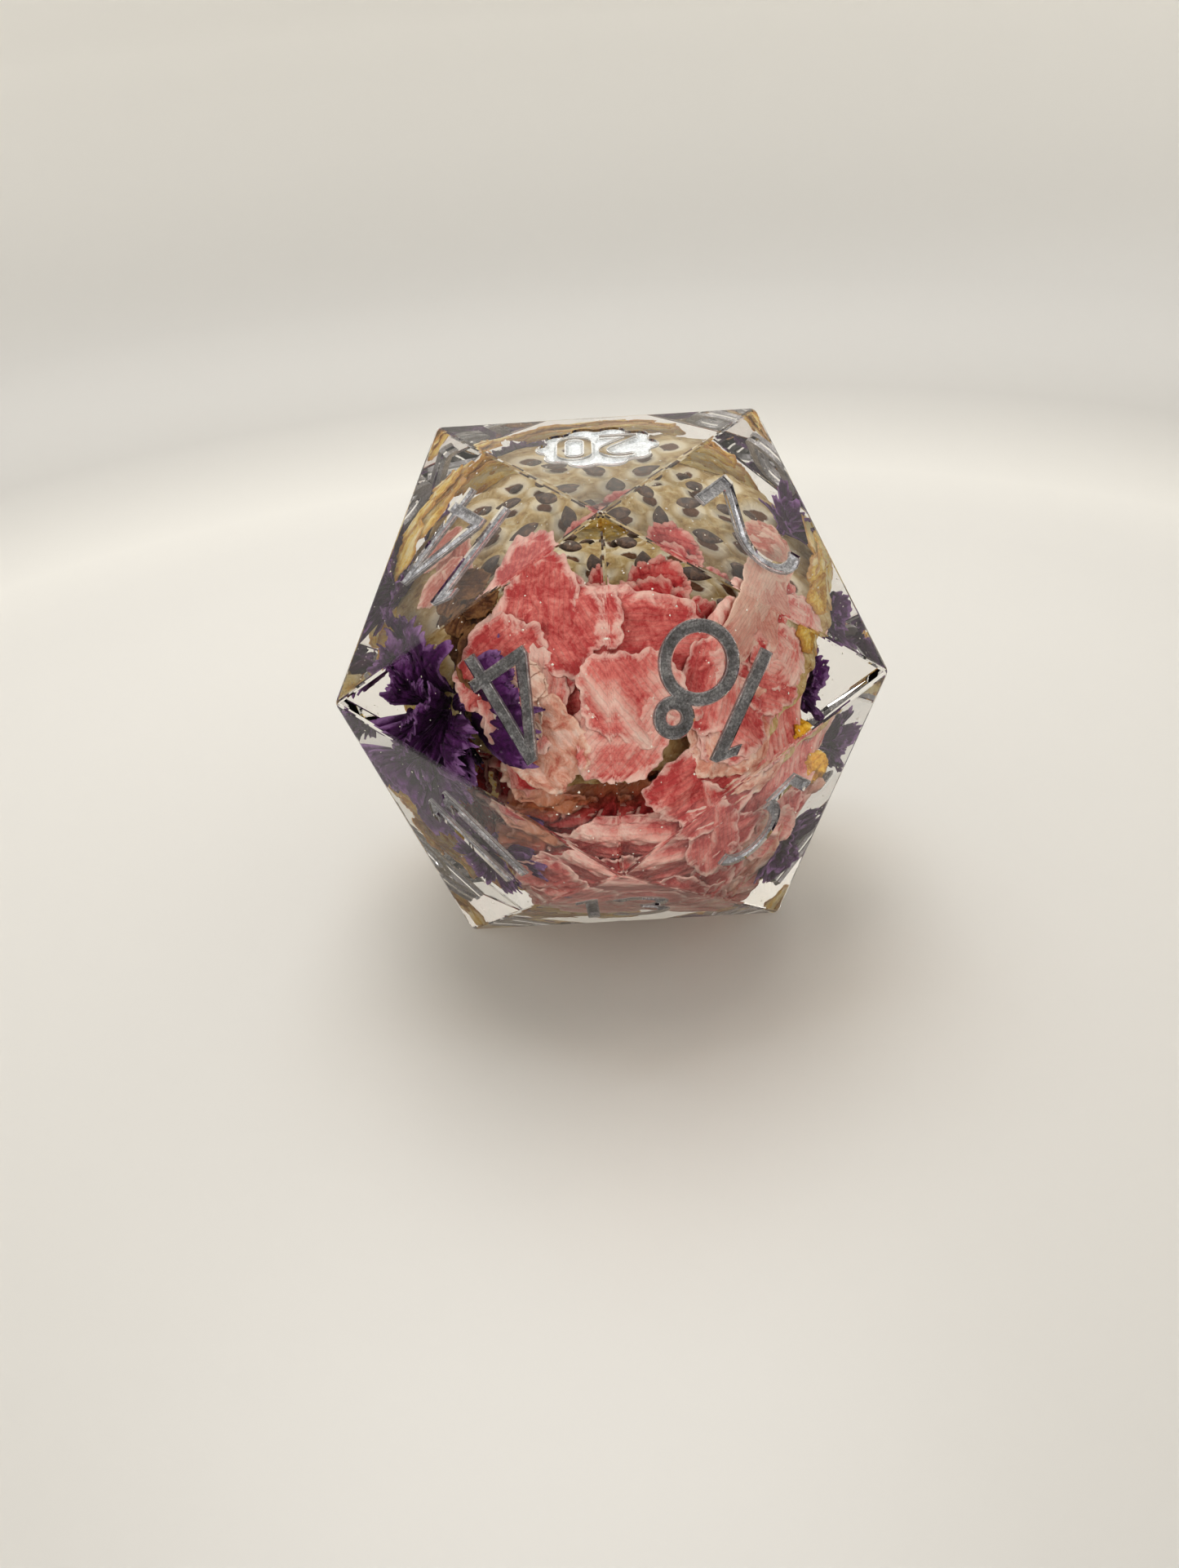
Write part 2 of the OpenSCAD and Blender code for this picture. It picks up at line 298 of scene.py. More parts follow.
def petal_material(name, stops, rim, vein=None, vein_scale=0.9, rings=0.0, glow=0.35, band=None):
    """Dried petal: stops colour it from hollows to crests, so shade is painted into the hollows and light onto
    the crests, with worn paler rims, veins and fine lines.
    """
    g = Graph(name)
    mottle = g.noise(g.place(1.0), 1.3, 5.0, 0.65, 0.6)
    grain = g.noise(g.place(1.0), 6.0, 4.0, 0.65)
    wrinkle = g.noise(g.sheet_place(1.0), 1.1, 6.0, 0.7, 0.9, "RIDGED_MULTIFRACTAL")
    # The tone attribute paints shade into the folds' hollows and light onto their crests; mottle and grain
    # vary it at random
    tone = g.math("ADD", g.math("MULTIPLY", g.value("tone"), 0.62), g.math("MULTIPLY", mottle, 0.9))
    tone = g.math("ADD", tone, g.math("MULTIPLY", grain, 0.4))
    tone = g.math("SUBTRACT", tone, TONE_BALANCE)
    colour = g.ramp(tone, stops)
    # Painted highlight: thin pale lines along the raised wrinkle ridges
    ridge_highlight = g.ramp(wrinkle, [(0.45, grey(0.0)), (0.85, grey(0.6))])
    colour = g.blend(ridge_highlight, colour, stops[-1][1])
    lines = g.add(
        "ShaderNodeTexWave",
        {"Vector": g.sheet_place(1.0), "Scale": 1.7, "Distortion": 3.0, "Detail": 3.0, "Detail Scale": 1.2},
        wave_type="RINGS",
    ).outputs["Fac"]
    line_dark = g.ramp(lines, [(0.0, grey(0.5)), (0.25, grey(1.0)), (1.0, grey(1.0))])
    colour = g.blend(rings, colour, line_dark, "MULTIPLY")
    worn = g.math("ADD", g.value("rim"), g.math("MULTIPLY", g.math("SUBTRACT", mottle, 0.5), 0.8))
    colour = g.blend(g.ramp(worn, [(0.82, grey(0.0)), (1.0, grey(0.75))]), colour, rim)
    if band:
        faded_stops = [(0.36, tint(206, 132, 108)), (0.5, tint(244, 206, 180)), (0.62, tint(253, 240, 226))]
        faded = g.ramp(mottle, faded_stops)
        colour = g.blend(g.math("MULTIPLY", g.value("pale"), 0.65), colour, faded)
        browned = g.math("MULTIPLY", g.value("band"), g.math("ADD", grain, 0.3), clamp=True)
        colour = g.blend(browned, colour, band)
    if vein:
        net = g.add(
            "ShaderNodeTexVoronoi",
            {"Vector": g.place(1.0), "Scale": vein_scale, "Randomness": 1.0},
            feature="DISTANCE_TO_EDGE",
        ).outputs["Distance"]
        net = g.math("ADD", net, g.math("MULTIPLY", g.math("SUBTRACT", grain, 0.5), 0.16))
        thread = g.ramp(net, [(0.0, grey(0.85)), (0.03, grey(0.35)), (0.06, grey(0.0))])
        strength = g.ramp(mottle, [(0.38, grey(0.45)), (0.55, grey(1.0))])
        colour = g.blend(g.math("MULTIPLY", thread, strength), colour, vein)
    relief = g.math("ADD", g.math("MULTIPLY", wrinkle, 0.4), g.math("MULTIPLY", grain, 0.6))
    return g.output(sheet_shader(g, colour, g.bump(relief, 0.7, 0.25 * MM), glow))


def fruit_material():
    """Dried fruit skin: pale rings round the seeds and a darker net between them."""
    g = Graph("dried_fruit")
    mottle = g.noise(g.place(1.0), 1.6, 5.0, 0.65, 0.5)
    grain = g.noise(g.place(1.0), 7.0, 3.0, 0.6)
    ring = g.math("ADD", g.value("halo"), g.math("MULTIPLY", g.math("SUBTRACT", mottle, 0.5), 0.1))
    skin = g.ramp(
        mottle,
        [
            (0.3, tint(120, 78, 40)),
            (0.42, tint(184, 152, 98)),
            (0.56, tint(214, 194, 144)),
            (0.7, tint(240, 232, 200)),
        ],
    )
    colour = g.ramp(
        ring,
        [
            (0.29, tint(104, 66, 40)),
            (0.335, tint(248, 242, 222)),
            (0.46, tint(244, 234, 204)),
            (0.56, tint(206, 184, 134)),
            (0.8, tint(176, 148, 98)),
            (1.0, tint(148, 112, 66)),
        ],
    )
    beyond = g.ramp(ring, [(0.45, grey(0.0)), (0.62, grey(0.8))])
    colour = g.blend(beyond, colour, skin)
    relief = g.math("ADD", g.math("MULTIPLY", mottle, 0.5), g.math("MULTIPLY", grain, 0.5))
    return g.output(sheet_shader(g, colour, g.bump(relief, 0.7, 0.25 * MM), 0.25))


def solid_material(name, stops, scale=2.5, roughness=0.5, gloss=0.3, bump=0.5):
    g = Graph(name)
    mottle = g.noise(g.place(1.0), scale, 5.0, 0.65, 0.4)
    inputs = {
        "Base Color": g.ramp(mottle, stops),
        "Roughness": roughness,
        "Specular IOR Level": gloss,
        "Normal": g.bump(mottle, bump, 0.15 * MM),
    }
    return g.output(g.add("ShaderNodeBsdfPrincipled", inputs).outputs[0])


MATERIALS = {
    "resin": resin_material(),
    "paint": paint_material("silver_paint", (96, 95, 97), (146, 146, 150), (224, 225, 229)),
    # A lighter copy of the silver paint for the top number: painted light where it faces the lamp above
    "badge": paint_material("silver_paint_lit", (158, 162, 164), (214, 218, 220), (246, 248, 250)),
    "red": petal_material(
        "petal_red",
        [
            (0.1, tint(140, 24, 30)),
            (0.3, tint(206, 62, 66)),
            (0.5, tint(230, 116, 112)),
            (0.7, tint(244, 182, 172)),
            (0.92, tint(252, 224, 214)),
        ],
        tint(248, 206, 194),
        rings=0.15,
        band=tint(196, 122, 78),
    ),
    "pink": petal_material(
        "petal_pink",
        [
            (0.1, tint(196, 72, 74)),
            (0.28, tint(230, 130, 124)),
            (0.5, tint(244, 190, 180)),
            (0.76, tint(252, 228, 218)),
        ],
        tint(252, 226, 216),
        rings=0.32,
        band=tint(204, 130, 86),
    ),
    "blush": petal_material(
        "petal_blush",
        [(0.12, tint(214, 132, 120)), (0.35, tint(238, 188, 174)), (0.7, tint(250, 226, 212))],
        tint(248, 226, 212),
        rings=0.3,
        glow=0.45,
    ),
    "cream": petal_material(
        "petal_cream",
        [(0.08, tint(236, 190, 172)), (0.28, tint(250, 226, 212)), (0.6, tint(254, 246, 236))],
        tint(248, 230, 214),
        vein=tint(136, 72, 40),
        vein_scale=1.5,
        glow=0.45,
    ),
    "yellow": petal_material(
        "petal_yellow",
        [
            (0.08, tint(206, 146, 44)),
            (0.26, tint(248, 222, 122)),
            (0.45, tint(254, 244, 196)),
            (0.8, tint(254, 250, 232)),
        ],
        tint(204, 150, 84),
        rings=0.2,
        glow=0.45,
    ),
    "purple": petal_material(
        "floret_purple",
        [
            (0.08, tint(40, 8, 48)),
            (0.36, tint(78, 24, 90)),
            (0.6, tint(116, 62, 134)),
            (0.85, tint(184, 148, 196)),
            (0.98, tint(214, 190, 220)),
        ],
        tint(150, 110, 168),
        glow=0.2,
    ),
    "brown": petal_material(
        "sepal_brown",
        [(0.15, tint(40, 20, 12)), (0.45, tint(92, 54, 30)), (0.8, tint(160, 116, 72))],
        tint(130, 92, 56),
        glow=0.15,
    ),
    "fruit": fruit_material(),
    "seed": solid_material(
        "seed_dark",
        [(0.3, tint(24, 14, 12)), (0.5, tint(58, 40, 32)), (0.72, tint(120, 92, 72))],
        scale=3.0,
        gloss=0.5,
    ),
    "amber": solid_material(
        "bud_amber",
        [(0.3, tint(120, 74, 28)), (0.5, tint(202, 168, 110)), (0.7, tint(232, 218, 176))],
        scale=1.4,
    ),
    "gold": solid_material(
        "stamen_gold",
        [(0.3, tint(168, 104, 10)), (0.5, tint(216, 160, 20)), (0.7, tint(240, 208, 90))],
    ),
    "stem": solid_material(
        "stem_dry",
        [(0.3, tint(70, 40, 20)), (0.5, tint(140, 96, 52)), (0.7, tint(188, 150, 98))],
    ),
    "speck": solid_material("resin_specks", [(0.3, tint(225, 220, 210)), (0.7, tint(250, 248, 240))]),
}

# ---------------------------------------------------------------- meshes


def mesh_piece(name, points, faces, material, replaced=(), values=None, uv=None):
    """A piece of the object made from points and faces, riding on the die."""
    mesh = bpy.data.meshes.new(name)
    mesh.from_pydata(np.asarray(points).tolist(), [], faces)
    for key, numbers in (values or {}).items():
        mesh.attributes.new(key, "FLOAT", "POINT").data.foreach_set("value", np.asarray(numbers, np.float32))
    if uv is not None:
        layer = mesh.uv_layers.new(name="sheet")
        at = np.zeros(len(mesh.loops), np.int32)
        mesh.loops.foreach_get("vertex_index", at)
        layer.data.foreach_set("uv", np.asarray(uv, np.float32)[at].ravel())
    mesh.polygons.foreach_set("use_smooth", [True] * len(mesh.polygons))
    mesh.materials.append(material)
    return sealed(bpy.data.objects.new(name, mesh), replaced)


def sealed(piece, replaced=()):
    if not piece.users_collection:
        bpy.context.scene.collection.objects.link(piece)
    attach(piece, "root")
    if replaced:
        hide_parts(*replaced)
    return piece


def thickened(piece, thickness):
    solid = piece.modifiers.new("thickness", "SOLIDIFY")
    solid.thickness = thickness
    solid.offset = 0
    return piece


def vertices_of(node):
    flat = np.zeros(len(NODES[node].data.vertices) * 3)
    NODES[node].data.vertices.foreach_get("co", flat)
    return np.unique(flat.reshape(-1, 3).round(7), axis=0)


def grid_faces(across, along, closed=False, start=0):
    """Faces of a grid of across by along points, joined round if closed."""
    faces = []
    for j in range(along - 1):
        for i in range(across if closed else across - 1):
            k = (i + 1) % across
            a, b = start + j * across + i, start + j * across + k
            faces.append((a, b, b + across, a + across))
    return faces


def folds(points, seed, size, octaves=4, fade=0.55, stretch=None):
    """Creased relief from about -1 to 1 at each point: folds of several sizes with sharp crests."""
    rng = np.random.default_rng(seed)
    p = np.asarray(points) / size
    if stretch is not None:
        p = p - np.outer(p @ stretch, stretch) * 0.72
    total, weight, most = np.zeros(len(p)), 1.0, 0.0
    for _ in range(octaves):
        bend = np.zeros_like(p)
        for _ in range(3):
            wave = np.sin(p @ rng.normal(size=3) * 2.1 + rng.uniform(0, 6.3))
            bend += np.outer(wave, rng.normal(size=3)) * 0.3
        layer = np.zeros(len(p))
        for _ in range(3):
            crest = (p + bend) @ unit(rng.normal(size=3)) * math.pi
            layer += 1 - 2.2 * np.abs(np.sin(crest + rng.uniform(0, 6.3)))
        total += weight * layer / 3
        most += weight
        weight *= fade
        p = p * 2.03
    return total / most * 1.6


def ragged(angle, seed, depth):
    """A closed outline's factor at each angle, with a few lobes and many small nicks."""
    rng = np.random.default_rng(seed)
    rim = np.ones_like(angle)
    for waves, share in ((2, 0.5), (3, 0.8), (5, 0.8), (8, 0.5), (13, 0.4), (21, 0.3), (34, 0.2)):
        rim += depth * share * np.sin(waves * angle + rng.uniform(0, 6.3))
    return rim


# ---------------------------------------------------------------- resin and numbers


def resin_shell():
    bm = bmesh.new()
    for corner in CORNERS:
        bm.verts.new(corner)
    bmesh.ops.convex_hull(bm, input=bm.verts)
    bmesh.ops.bevel(
        bm,
        geom=bm.edges[:],
        offset=EDGE_ROUNDING,
        segments=3,
        profile=0.5,
        affect="EDGES",
        clamp_overlap=True,
    )
    bmesh.ops.recalc_face_normals(bm, faces=bm.faces)
    mesh = bpy.data.meshes.new("resin_shell")
    bm.to_mesh(mesh)
    bm.free()
    mesh.materials.append(MATERIALS["resin"])
    return bpy.data.objects.new("resin_shell", mesh)


def face_of(node):
    middle = vertices_of(node).mean(axis=0) - CENTRE
    return FACE_NORMALS[(FACE_NORMALS @ middle).argmax()]


def paint_mesh(node, normal):
    """The paint's solid with its doubled corners merged, and the faces of its top."""
    bm = bmesh.new()
    bm.from_mesh(NODES[node].data)
    bmesh.ops.remove_doubles(bm, verts=bm.verts, dist=1e-7)
    bm.normal_update()
    top = max(v.co.dot(normal) for v in bm.verts)
    caps = [
        f
        for f in bm.faces
        if f.normal.dot(normal) > 0.99 and f.calc_center_median().dot(normal) > top - FACE_TOLERANCE
    ]
    return bm, caps


def sink(faces, normal, depth):
    for v in {v for f in faces for v in f.verts}:
        v.co -= normal * depth


def painted_number(node, normal):
    """The number's paint, its top hollowed as paint dries in a groove."""
    bm, caps = paint_mesh(node, normal)
    for inset, drop in GROOVE_STEPS:
        bmesh.ops.inset_region(bm, faces=caps, thickness=inset * MM, use_boundary=True, use_even_offset=True)
        sink(caps, normal, drop * MM)
    mesh = bpy.data.meshes.new(node + "_paint")
    bm.to_mesh(mesh)
    bm.free()
    mesh.materials.clear()
    # The top number takes the lighter copy of the silver paint, painted light
    mesh.materials.append(MATERIALS["badge" if node == "number_20" else "paint"])
    mesh.polygons.foreach_set("material_index", [0] * len(mesh.polygons))
    mesh.polygons.foreach_set("use_smooth", [False] * len(mesh.polygons))
    return sealed(bpy.data.objects.new(node + "_paint", mesh), [node])


def recess_cutter(node, normal, into):
    """Adds to into the block that the recess of this number takes out of the resin."""
    bm, caps = paint_mesh(node, normal)
    bmesh.ops.inset_region(bm, faces=caps, thickness=RECESS_RIM, use_boundary=True, use_even_offset=True)
    kept = set(caps)
    bmesh.ops.delete(bm, geom=[f for f in bm.faces if f not in kept], context="FACES")
    plane = Vector(CENTRE).dot(normal) + APOTHEM
    for v in bm.verts:
        v.co += normal * (plane - RECESS_FLOOR - v.co.dot(normal))
    raised = bmesh.ops.extrude_face_region(bm, geom=bm.faces[:])["geom"]
    for v in raised:
        if isinstance(v, bmesh.types.BMVert):
            v.co += normal * (RECESS_FLOOR + CLEAR)
    bmesh.ops.recalc_face_normals(bm, faces=bm.faces)
    scratch = bpy.data.meshes.new("scratch")
    bm.to_mesh(scratch)
    bm.free()
    into.from_mesh(scratch)
    bpy.data.meshes.remove(scratch)


def build_resin_and_numbers():
    shell = resin_shell()
    bpy.context.scene.collection.objects.link(shell)
    cutters = bmesh.new()
    for node in sorted(n for n in NODES if n.startswith("number_")):
        normal = Vector(face_of(node))
        painted_number(node, normal)
        recess_cutter(node, normal, cutters)
    mesh = bpy.data.meshes.new("recesses")
    cutters.to_mesh(mesh)
    cutters.free()
    tool = bpy.data.objects.new("recesses", mesh)
    bpy.context.scene.collection.objects.link(tool)
    cut = shell.modifiers.new("recesses", "BOOLEAN")
    cut.object = tool
    cut.solver = "EXACT"
    cut.operation = "DIFFERENCE"
    bpy.context.view_layer.update()
    done = bpy.data.meshes.new_from_object(shell.evaluated_get(bpy.context.evaluated_depsgraph_get()))
    shell.modifiers.clear()
    shell.data = done
    done.name = "resin_shell"
    bpy.data.objects.remove(tool)
    done.polygons.foreach_set("use_smooth", [False] * len(done.polygons))
    sealed(shell, ["resin_body"])


# ---------------------------------------------------------------- petals

# Petals: material, growth beyond the CAD outline, height of the folds, size of the folds, depth under the
# faces (mm), number of torn shreds that lie over it, seed
PETALS = {
    "pink_petal_top": ("red", 0.9, 0.6, 2.0, 1.1, 7, 1),
    "pink_petal_front": ("pink", 1.2, 0.55, 2.4, 0.75, 7, 2),
    "pink_petal_core": ("red", 1.5, 0.9, 2.4, 1.6, 8, 3),
    "pink_petal_left": ("red", 1.65, 0.7, 2.0, 1.1, 12, 4),
    "pink_petal_right": ("pink", 1.45, 0.7, 2.2, 0.9, 14, 5),
    "pink_petal_low": ("red", 1.75, 0.7, 2.2, 1.0, 26, 6),
    "pink_petal_base": ("pink", 1.5, 0.7, 2.2, 0.8, 12, 7),
    "pink_petal_inner": ("red", 1.3, 0.9, 2.4, 2.0, 6, 8),
    "pink_petal_back": ("pink", 1.6, 0.9, 2.4, 1.2, 16, 9),
    "blush_petal_right": ("blush", 0.95, 0.5, 2.4, 0.9, 4, 18),
    "blush_petal_left": ("blush", 0.9, 0.4, 2.4, 2.2, 3, 11),
    "cream_petal": ("cream", 0.72, 0.3, 2.4, 0.4, 1, 12),
    "yellow_petal_left": ("yellow", 1.5, 0.5, 2.0, 0.65, 7, 13),
    "yellow_petal_right": ("yellow", 1.1, 0.5, 2.0, 0.65, 7, 14),
    "yellow_petal_back": ("yellow", 1.5, 0.6, 2.0, 0.7, 8, 15),
    "yellow_petal_low": ("yellow", 2.0, 0.5, 2.0, 0.7, 10, 16),
    "brown_sepal": ("brown", 1.1, 0.35, 1.2, 1.0, 4, 17),
}
SHRED_CELLS = 36
HALO_REACH = 3.2  # steps of a seed's outline over which the skin's colour changes round it
PALE_SHARE = 0.16  # share of the shreds that are cream
TONE_SHIFTS = {
    "pink_petal_top": -0.16,
    "pink_petal_core": -0.1,
    "pink_petal_left": -0.28,
    "pink_petal_low": -0.14,
    "pink_petal_front": -0.2,
    "pink_petal_right": -0.1,
    "blush_petal_left": -0.2,
}
# Pieces moved from where the CAD has them, in mm. Petals slide round the bunch, by up to 3.6 mm.
SHIFTS = {
    "pink_petal_top": (0.0, 0.0, 1.0),
    "pink_petal_front": (-0.9, 0.0, 3.6),
    "pink_petal_low": (2.2, 0.0, 0.2),
    "pink_petal_base": (0.0, 0.0, 1.0),
    "pink_petal_left": (0.0, 0.0, 0.6),
        "cream_petal": (0.1, -0.6, 3.2),
    "purple_floret_front": (0.5, -0.7, -0.4),
    "purple_floret_low": (0.3, -0.3, 0.6),
    "purple_floret_right": (-0.6, 0.0, -0.2),
}
# Browned bands across a petal, rising to the right: height above the middle of the bunch, breadth
BAND_WAY = unit((-0.4, 0, 0.9))
BANDS = {"pink_petal_low": (-1.0 * MM, 0.7 * MM), "pink_petal_front": (-1.6 * MM, 0.4 * MM)}


def sheet_frame(node):
    """A curved CAD sheet: its outward, widest and narrower directions, radius and half sizes."""
    points = vertices_of(node) - BUNCH
    radius = np.linalg.norm(points, axis=1).mean()
    outward = unit(points.mean(axis=0))
    flat = points - np.outer(points @ outward, outward)
    flat = flat - flat.mean(axis=0)
    directions = np.linalg.eigh(flat.T @ flat)[1]
    wide = unit(directions[:, 2] - outward * (directions[:, 2] @ outward))
    if wide[0] < 0:
        wide = -wide
    half_w, half_h = abs(flat @ wide).max(), abs(flat @ np.cross(outward, wide)).max()
    outward = unit(outward * radius + np.array(SHIFTS.get(node, (0, 0, 0))) * MM)
    wide = unit(wide - outward * (wide @ outward))
    return outward, wide, np.cross(outward, wide), radius, half_w, half_h


def disc_grid(cells):
    """A square grid of points pressed into a disc of radius 1."""
    line = np.linspace(-1, 1, cells + 1)
    a, b = np.meshgrid(line, line)
    a, b = a.ravel(), b.ravel()
    return a * np.sqrt(1 - b * b / 2), b * np.sqrt(1 - a * a / 2)


def sheet_points(cells, frame_of, size, growth, depth, fold, margin, seed, raise_by=0.0, slope=(0.0, 0.0)):
    """One crumpled sheet round the bunch: its points, tone (painted shade in the hollows of its folds, painted
    light on their crests), nearness to the rim and place along the sheet.
    """
    outward, wide, narrow, radius = frame_of
    half_w, half_h = size
    x, y = disc_grid(cells)
    rho, angle = np.hypot(x, y), np.arctan2(y, x)
    rim = ragged(angle, seed, RAGGED)
    across = x * rim * half_w * growth
    along = y * rim * half_h * growth
    ray = outward + np.outer(across / radius, wide) + np.outer(along / radius, narrow)
    ray /= np.linalg.norm(ray, axis=1)[:, None]
    base = BUNCH + ray * radius
    relief = folds(base, seed, fold * MM, stretch=wide)
    curl = rho**5 * (0.5 + 0.9 * np.sin(5 * angle + seed))
    lift = depth * MM * (relief + 0.55 * curl) + raise_by + across * slope[0] + along * slope[1]
    swell = OUTER_SWELL if radius > OUTER_R else 0.0
    points = held_inside(base + ray * lift[:, None], margin * MM, swell)
    # Tone follows the relief of the folds: painted shade in the hollows, painted light on the crests
    return points, 0.5 + 0.42 * relief, rho, np.stack([across, along - half_h], axis=1) / MM


def build_petal(node, kind, growth, depth, fold, margin, shreds, seed):
    """A crumpled petal and the torn shreds that lie over it, some of them faded."""
    outward, wide, narrow, radius, half_w, half_h = sheet_frame(node)
    rng = np.random.default_rng(seed + 100)
    shape = (outward, wide, narrow, radius), (half_w, half_h)
    main = sheet_points(SIDE_CELLS, *shape, growth, depth, fold, margin, seed)
    layers = [(SIDE_CELLS, (*main, np.zeros_like(main[1])))]
    for k in range(shreds):
        offset = rng.uniform(-1, 1, 2) * (half_w, half_h) * growth * 0.85 / radius
        way = unit(outward + wide * offset[0] + narrow * offset[1])
        spin = rng.uniform(0, math.pi)
        first = unit(np.cross(way, unit(narrow * math.cos(spin) + wide * math.sin(spin))))
        size = rng.uniform(0.28, 0.5) * min(half_w, half_h) + 0.35 * MM
        points, tone, rho, place = sheet_points(
            SHRED_CELLS,
            (way, first, np.cross(way, first), radius),
            (size * rng.uniform(1.0, 1.8), size),
            1.0,
            depth * 0.6,
            fold * 0.6,
            margin - 0.2 + 0.3 * rng.uniform(),
            seed * 50 + k,
            raise_by=rng.uniform(0.1, 0.75) * MM,
            slope=rng.uniform(-0.35, 0.35, 2),
        )
        pale = np.full_like(tone, float(rng.uniform() < PALE_SHARE))
        layers.append((SHRED_CELLS, (points, tone + rng.uniform(-0.35, 0.3), rho, place, pale)))
    faces, start = [], 0
    for cells, layer in layers:
        faces += grid_faces(cells + 1, cells + 1, start=start)
        start += len(layer[0])
    points, tones, rims, places, pales = (np.concatenate([layer[k] for _, layer in layers]) for k in range(5))
    values = {"tone": np.clip(tones + TONE_SHIFTS.get(node, 0), 0, 1), "rim": rims, "pale": pales}
    if node in BANDS:
        middle, breadth = BANDS[node]
        values["band"] = np.exp(-((((points - BUNCH) @ BAND_WAY - middle) / breadth) ** 2))
    name = node + "_ruffled"
    piece = mesh_piece(name, points, faces, MATERIALS[kind], [node], values=values, uv=places)
    return thickened(piece, SHEET_T)


# ---------------------------------------------------------------- florets

# Florets: growth beyond the CAD trumpet, number of lobes, depth of the folds in mm, seed
FLORETS = {
    "purple_floret_front": (2.25, 11, 0.9, 31),
    "purple_floret_low": (1.35, 8, 0.6, 32),
    "purple_floret_left": (2.1, 8, 0.7, 33),
    "purple_floret_right": (0.95, 6, 0.4, 34),
    "purple_floret_top": (1.3, 5, 0.5, 35),
    "purple_floret_back": (1.8, 6, 0.6, 36),
    "purple_floret_base": (1.8, 5, 0.5, 37),
}
LOBE_CELLS = 56
WHORLS = ((1.0, 0.2), (0.7, 0.45), (0.42, 0.7))  # size of each whorl's lobes and how unevenly they lean


def turned_frame(node):
    """A turned CAD piece: its axis, which points away from the die's centre, lower end, length and radius."""
    points = vertices_of(node)
    middle = points.mean(axis=0)
    spread, directions = np.linalg.eigh((points - middle).T @ (points - middle))
    odd = 0 if abs(spread[0] - spread[1]) > abs(spread[1] - spread[2]) else 2
    axis = directions[:, odd]
    if axis @ (middle - CENTRE) < 0:
        axis = -axis
    along = (points - middle) @ axis
    radius = np.linalg.norm(points - middle - np.outer(along, axis), axis=1).max()
    return axis, middle + axis * along.min(), np.ptp(along), radius


def floret_lobe(rng, seed, axis, base, side, other, turn, half_turn, length, radius, depth):
    """One crinkled lobe that opens from the base: its points, tone (painted shade in the hollows of its
    crinkles, painted light on their crests), nearness to the rim and place along it.
    """
    line = np.linspace(0, 1, LOBE_CELLS)
    u, v = (c.ravel() for c in np.meshgrid(np.linspace(-1, 1, LOBE_CELLS), line))
    reach = length * rng.uniform(0.8, 1.15)
    open_r = radius * rng.uniform(0.6, 1.1)
    angle = turn + u * half_turn * np.sin(math.pi * np.clip(v * 0.62 + 0.2, 0, 1)) ** 0.7
    r = 0.1 * radius + open_r * v**1.3
    height = reach * v * (1 - 0.16 * u**2 - 0.08 * np.abs(np.sin(7 * u + seed)))
    ray = np.outer(np.cos(angle), side) + np.outer(np.sin(angle), other)
    lobe = base + np.outer(height, axis) + ray * r[:, None]
    crinkle = folds(lobe, seed, 1.5 * MM, octaves=4, stretch=unit(axis + ray.mean(axis=0)))
    lobe = lobe + (ray * 0.8 + axis * 0.6) * (crinkle * v**0.6 * depth)[:, None]
    rim = np.clip(np.maximum(v, np.abs(u)) + 0.1 * crinkle, 0, 1)
    # Tone follows the crinkles' relief: painted shade in the hollows, painted light on the crests
    return lobe, 0.34 + 0.42 * crinkle, rim, np.stack([u, v * 4], axis=1)


def build_floret(node, growth, lobes, depth, seed):
    """A papery floret: crinkled lobes in three whorls that open from one base, tilted unevenly."""
    axis, base, length, radius = turned_frame(node)
    base = base + np.array(SHIFTS.get(node, (0, 0, 0))) * MM
    rng = np.random.default_rng(seed)
    layers, faces = [], []
    for whorl, (share, tilt) in enumerate(WHORLS):
        for k in range(lobes):
            lean = unit(axis + rng.normal(size=3) * tilt)
            side = unit(np.cross(lean, (0.3, 0.2, 0.9)))
            other = np.cross(lean, side)
            turn = 2 * math.pi * (k + rng.uniform(-0.3, 0.3)) / lobes
            lobe, tone, rim, place = floret_lobe(
                rng,
                seed * 10 + k + 100 * whorl,
                lean,
                base + axis * whorl * 0.15 * length,
                side,
                other,
                turn,
                1.35 * math.pi / lobes,
                length * growth * share,
                radius * growth * share,
                depth * MM,
            )
            lobe = held_inside(lobe, (0.6 + 0.12 * (k % 4)) * MM, 0.15)
            faces += grid_faces(LOBE_CELLS, LOBE_CELLS, start=len(layers) * LOBE_CELLS**2)
            layers.append((lobe, tone + rng.uniform(-0.12, 0.12), rim, place))
    points, tones, rims, places = (np.concatenate([layer[k] for layer in layers]) for k in range(4))
    values = {"tone": np.clip(tones, 0, 1), "rim": rims}
    name = node + "_crinkled"
    purple = MATERIALS["purple"]
    piece = mesh_piece(name, points, faces, purple, [node], values=values, uv=places)
    return thickened(piece, SHEET_T)


# ---------------------------------------------------------------- fruit and seeds


def islands(node):
    """The separate lumps of a CAD node, each as an array of its corners, in an order that never changes."""
    bm = bmesh.new()
    bm.from_mesh(NODES[node].data)
    bmesh.ops.remove_doubles(bm, verts=bm.verts, dist=1e-7)
    left, found = set(bm.verts), []
    while left:
        todo, lump = [left.pop()], []
        while todo:
            v = todo.pop()
            lump.append(tuple(v.co))
            for e in v.link_edges:
                w = e.other_vert(v)
                if w in left:
                    left.remove(w)
                    todo.append(w)
        found.append(np.array(sorted(lump)))
    bm.free()
    return sorted(found, key=lambda lump: lump[0].tolist())


